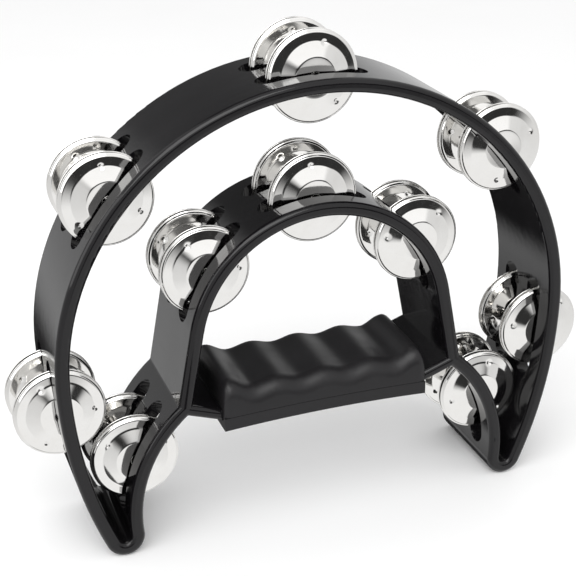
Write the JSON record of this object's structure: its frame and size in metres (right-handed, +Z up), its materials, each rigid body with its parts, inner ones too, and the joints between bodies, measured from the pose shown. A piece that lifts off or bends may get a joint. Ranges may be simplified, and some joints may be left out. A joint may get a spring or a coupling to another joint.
{
  "type": "tambourine",
  "caption": "Handheld half-moon tambourine: open moulded frame with two rows of paired metal jingles on pins and a finger-grooved grip across its middle.",
  "frame": {"origin": "under the middle of the instrument, on the surface that the two horn tips stand on, at the frame's mid-depth", "axes": "+X to the right along the width, +Y from the front face to the back face along the pins, +Z up from the horn tips to the top of the outer band"},
  "size_m": [0.2858, 0.058, 0.2363],
  "materials": {
    "frame_plastic": "glossy black moulded ABS",
    "grip_plastic": "satin dark grey moulded plastic, slightly soft",
    "jingle_metal": "bright nickel-plated stamped steel",
    "pin_steel": "bright drawn steel wire",
    "screw_steel": "zinc-plated steel"
  },
  "bodies": {
    "frame": {"frame": "frame_plastic", "grip_upper": "grip_plastic", "grip_lower": "grip_plastic", "grip_screws": "screw_steel", "pin_outer_top": "pin_steel", "pin_outer_left": "pin_steel", "pin_outer_right": "pin_steel", "pin_low_left": "pin_steel", "pin_low_right": "pin_steel", "pin_arch_top": "pin_steel", "pin_arch_left": "pin_steel", "pin_arch_right": "pin_steel", "pin_horn_left": "pin_steel", "pin_horn_right": "pin_steel"},
    "jingle_outer_top_1": {"jingle_outer_top_1": "jingle_metal"},
    "jingle_outer_top_2": {"jingle_outer_top_2": "jingle_metal"},
    "jingle_outer_top_3": {"jingle_outer_top_3": "jingle_metal"},
    "jingle_outer_top_4": {"jingle_outer_top_4": "jingle_metal"},
    "jingle_outer_left_1": {"jingle_outer_left_1": "jingle_metal"},
    "jingle_outer_left_2": {"jingle_outer_left_2": "jingle_metal"},
    "jingle_outer_left_3": {"jingle_outer_left_3": "jingle_metal"},
    "jingle_outer_left_4": {"jingle_outer_left_4": "jingle_metal"},
    "jingle_outer_right_1": {"jingle_outer_right_1": "jingle_metal"},
    "jingle_outer_right_2": {"jingle_outer_right_2": "jingle_metal"},
    "jingle_outer_right_3": {"jingle_outer_right_3": "jingle_metal"},
    "jingle_outer_right_4": {"jingle_outer_right_4": "jingle_metal"},
    "jingle_low_left_1": {"jingle_low_left_1": "jingle_metal"},
    "jingle_low_left_2": {"jingle_low_left_2": "jingle_metal"},
    "jingle_low_left_3": {"jingle_low_left_3": "jingle_metal"},
    "jingle_low_left_4": {"jingle_low_left_4": "jingle_metal"},
    "jingle_low_right_1": {"jingle_low_right_1": "jingle_metal"},
    "jingle_low_right_2": {"jingle_low_right_2": "jingle_metal"},
    "jingle_low_right_3": {"jingle_low_right_3": "jingle_metal"},
    "jingle_low_right_4": {"jingle_low_right_4": "jingle_metal"},
    "jingle_arch_top_1": {"jingle_arch_top_1": "jingle_metal"},
    "jingle_arch_top_2": {"jingle_arch_top_2": "jingle_metal"},
    "jingle_arch_top_3": {"jingle_arch_top_3": "jingle_metal"},
    "jingle_arch_top_4": {"jingle_arch_top_4": "jingle_metal"},
    "jingle_arch_left_1": {"jingle_arch_left_1": "jingle_metal"},
    "jingle_arch_left_2": {"jingle_arch_left_2": "jingle_metal"},
    "jingle_arch_left_3": {"jingle_arch_left_3": "jingle_metal"},
    "jingle_arch_left_4": {"jingle_arch_left_4": "jingle_metal"},
    "jingle_arch_right_1": {"jingle_arch_right_1": "jingle_metal"},
    "jingle_arch_right_2": {"jingle_arch_right_2": "jingle_metal"},
    "jingle_arch_right_3": {"jingle_arch_right_3": "jingle_metal"},
    "jingle_arch_right_4": {"jingle_arch_right_4": "jingle_metal"},
    "jingle_horn_left_1": {"jingle_horn_left_1": "jingle_metal"},
    "jingle_horn_left_2": {"jingle_horn_left_2": "jingle_metal"},
    "jingle_horn_left_3": {"jingle_horn_left_3": "jingle_metal"},
    "jingle_horn_left_4": {"jingle_horn_left_4": "jingle_metal"},
    "jingle_horn_right_1": {"jingle_horn_right_1": "jingle_metal"},
    "jingle_horn_right_2": {"jingle_horn_right_2": "jingle_metal"},
    "jingle_horn_right_3": {"jingle_horn_right_3": "jingle_metal"},
    "jingle_horn_right_4": {"jingle_horn_right_4": "jingle_metal"}
  },
  "joints": [
    {"name": "jingle_outer_top_1_slide", "type": "slide", "parent": "frame", "child": "jingle_outer_top_1", "axis": [0, 1, 0], "range_m": [-0.0009, 0.0009]},
    {"name": "jingle_outer_top_2_slide", "type": "slide", "parent": "frame", "child": "jingle_outer_top_2", "axis": [0, 1, 0], "range_m": [-0.0009, 0.0009]},
    {"name": "jingle_outer_top_3_slide", "type": "slide", "parent": "frame", "child": "jingle_outer_top_3", "axis": [0, 1, 0], "range_m": [-0.0009, 0.0009]},
    {"name": "jingle_outer_top_4_slide", "type": "slide", "parent": "frame", "child": "jingle_outer_top_4", "axis": [0, 1, 0], "range_m": [-0.0009, 0.0009]},
    {"name": "jingle_outer_left_1_slide", "type": "slide", "parent": "frame", "child": "jingle_outer_left_1", "axis": [0, 1, 0], "range_m": [-0.0009, 0.0009]},
    {"name": "jingle_outer_left_2_slide", "type": "slide", "parent": "frame", "child": "jingle_outer_left_2", "axis": [0, 1, 0], "range_m": [-0.0009, 0.0009]},
    {"name": "jingle_outer_left_3_slide", "type": "slide", "parent": "frame", "child": "jingle_outer_left_3", "axis": [0, 1, 0], "range_m": [-0.0009, 0.0009]},
    {"name": "jingle_outer_left_4_slide", "type": "slide", "parent": "frame", "child": "jingle_outer_left_4", "axis": [0, 1, 0], "range_m": [-0.0009, 0.0009]},
    {"name": "jingle_outer_right_1_slide", "type": "slide", "parent": "frame", "child": "jingle_outer_right_1", "axis": [0, 1, 0], "range_m": [-0.0009, 0.0009]},
    {"name": "jingle_outer_right_2_slide", "type": "slide", "parent": "frame", "child": "jingle_outer_right_2", "axis": [0, 1, 0], "range_m": [-0.0009, 0.0009]},
    {"name": "jingle_outer_right_3_slide", "type": "slide", "parent": "frame", "child": "jingle_outer_right_3", "axis": [0, 1, 0], "range_m": [-0.0009, 0.0009]},
    {"name": "jingle_outer_right_4_slide", "type": "slide", "parent": "frame", "child": "jingle_outer_right_4", "axis": [0, 1, 0], "range_m": [-0.0009, 0.0009]},
    {"name": "jingle_low_left_1_slide", "type": "slide", "parent": "frame", "child": "jingle_low_left_1", "axis": [0, 1, 0], "range_m": [-0.0009, 0.0009]},
    {"name": "jingle_low_left_2_slide", "type": "slide", "parent": "frame", "child": "jingle_low_left_2", "axis": [0, 1, 0], "range_m": [-0.0009, 0.0009]},
    {"name": "jingle_low_left_3_slide", "type": "slide", "parent": "frame", "child": "jingle_low_left_3", "axis": [0, 1, 0], "range_m": [-0.0009, 0.0009]},
    {"name": "jingle_low_left_4_slide", "type": "slide", "parent": "frame", "child": "jingle_low_left_4", "axis": [0, 1, 0], "range_m": [-0.0009, 0.0009]},
    {"name": "jingle_low_right_1_slide", "type": "slide", "parent": "frame", "child": "jingle_low_right_1", "axis": [0, 1, 0], "range_m": [-0.0009, 0.0009]},
    {"name": "jingle_low_right_2_slide", "type": "slide", "parent": "frame", "child": "jingle_low_right_2", "axis": [0, 1, 0], "range_m": [-0.0009, 0.0009]},
    {"name": "jingle_low_right_3_slide", "type": "slide", "parent": "frame", "child": "jingle_low_right_3", "axis": [0, 1, 0], "range_m": [-0.0009, 0.0009]},
    {"name": "jingle_low_right_4_slide", "type": "slide", "parent": "frame", "child": "jingle_low_right_4", "axis": [0, 1, 0], "range_m": [-0.0009, 0.0009]},
    {"name": "jingle_arch_top_1_slide", "type": "slide", "parent": "frame", "child": "jingle_arch_top_1", "axis": [0, 1, 0], "range_m": [-0.0009, 0.0009]},
    {"name": "jingle_arch_top_2_slide", "type": "slide", "parent": "frame", "child": "jingle_arch_top_2", "axis": [0, 1, 0], "range_m": [-0.0009, 0.0009]},
    {"name": "jingle_arch_top_3_slide", "type": "slide", "parent": "frame", "child": "jingle_arch_top_3", "axis": [0, 1, 0], "range_m": [-0.0009, 0.0009]},
    {"name": "jingle_arch_top_4_slide", "type": "slide", "parent": "frame", "child": "jingle_arch_top_4", "axis": [0, 1, 0], "range_m": [-0.0009, 0.0009]},
    {"name": "jingle_arch_left_1_slide", "type": "slide", "parent": "frame", "child": "jingle_arch_left_1", "axis": [0, 1, 0], "range_m": [-0.0009, 0.0009]},
    {"name": "jingle_arch_left_2_slide", "type": "slide", "parent": "frame", "child": "jingle_arch_left_2", "axis": [0, 1, 0], "range_m": [-0.0009, 0.0009]},
    {"name": "jingle_arch_left_3_slide", "type": "slide", "parent": "frame", "child": "jingle_arch_left_3", "axis": [0, 1, 0], "range_m": [-0.0009, 0.0009]},
    {"name": "jingle_arch_left_4_slide", "type": "slide", "parent": "frame", "child": "jingle_arch_left_4", "axis": [0, 1, 0], "range_m": [-0.0009, 0.0009]},
    {"name": "jingle_arch_right_1_slide", "type": "slide", "parent": "frame", "child": "jingle_arch_right_1", "axis": [0, 1, 0], "range_m": [-0.0009, 0.0009]},
    {"name": "jingle_arch_right_2_slide", "type": "slide", "parent": "frame", "child": "jingle_arch_right_2", "axis": [0, 1, 0], "range_m": [-0.0009, 0.0009]},
    {"name": "jingle_arch_right_3_slide", "type": "slide", "parent": "frame", "child": "jingle_arch_right_3", "axis": [0, 1, 0], "range_m": [-0.0009, 0.0009]},
    {"name": "jingle_arch_right_4_slide", "type": "slide", "parent": "frame", "child": "jingle_arch_right_4", "axis": [0, 1, 0], "range_m": [-0.0009, 0.0009]},
    {"name": "jingle_horn_left_1_slide", "type": "slide", "parent": "frame", "child": "jingle_horn_left_1", "axis": [0, 1, 0], "range_m": [-0.0009, 0.0009]},
    {"name": "jingle_horn_left_2_slide", "type": "slide", "parent": "frame", "child": "jingle_horn_left_2", "axis": [0, 1, 0], "range_m": [-0.0009, 0.0009]},
    {"name": "jingle_horn_left_3_slide", "type": "slide", "parent": "frame", "child": "jingle_horn_left_3", "axis": [0, 1, 0], "range_m": [-0.0009, 0.0009]},
    {"name": "jingle_horn_left_4_slide", "type": "slide", "parent": "frame", "child": "jingle_horn_left_4", "axis": [0, 1, 0], "range_m": [-0.0009, 0.0009]},
    {"name": "jingle_horn_right_1_slide", "type": "slide", "parent": "frame", "child": "jingle_horn_right_1", "axis": [0, 1, 0], "range_m": [-0.0009, 0.0009]},
    {"name": "jingle_horn_right_2_slide", "type": "slide", "parent": "frame", "child": "jingle_horn_right_2", "axis": [0, 1, 0], "range_m": [-0.0009, 0.0009]},
    {"name": "jingle_horn_right_3_slide", "type": "slide", "parent": "frame", "child": "jingle_horn_right_3", "axis": [0, 1, 0], "range_m": [-0.0009, 0.0009]},
    {"name": "jingle_horn_right_4_slide", "type": "slide", "parent": "frame", "child": "jingle_horn_right_4", "axis": [0, 1, 0], "range_m": [-0.0009, 0.0009]}
  ]
}
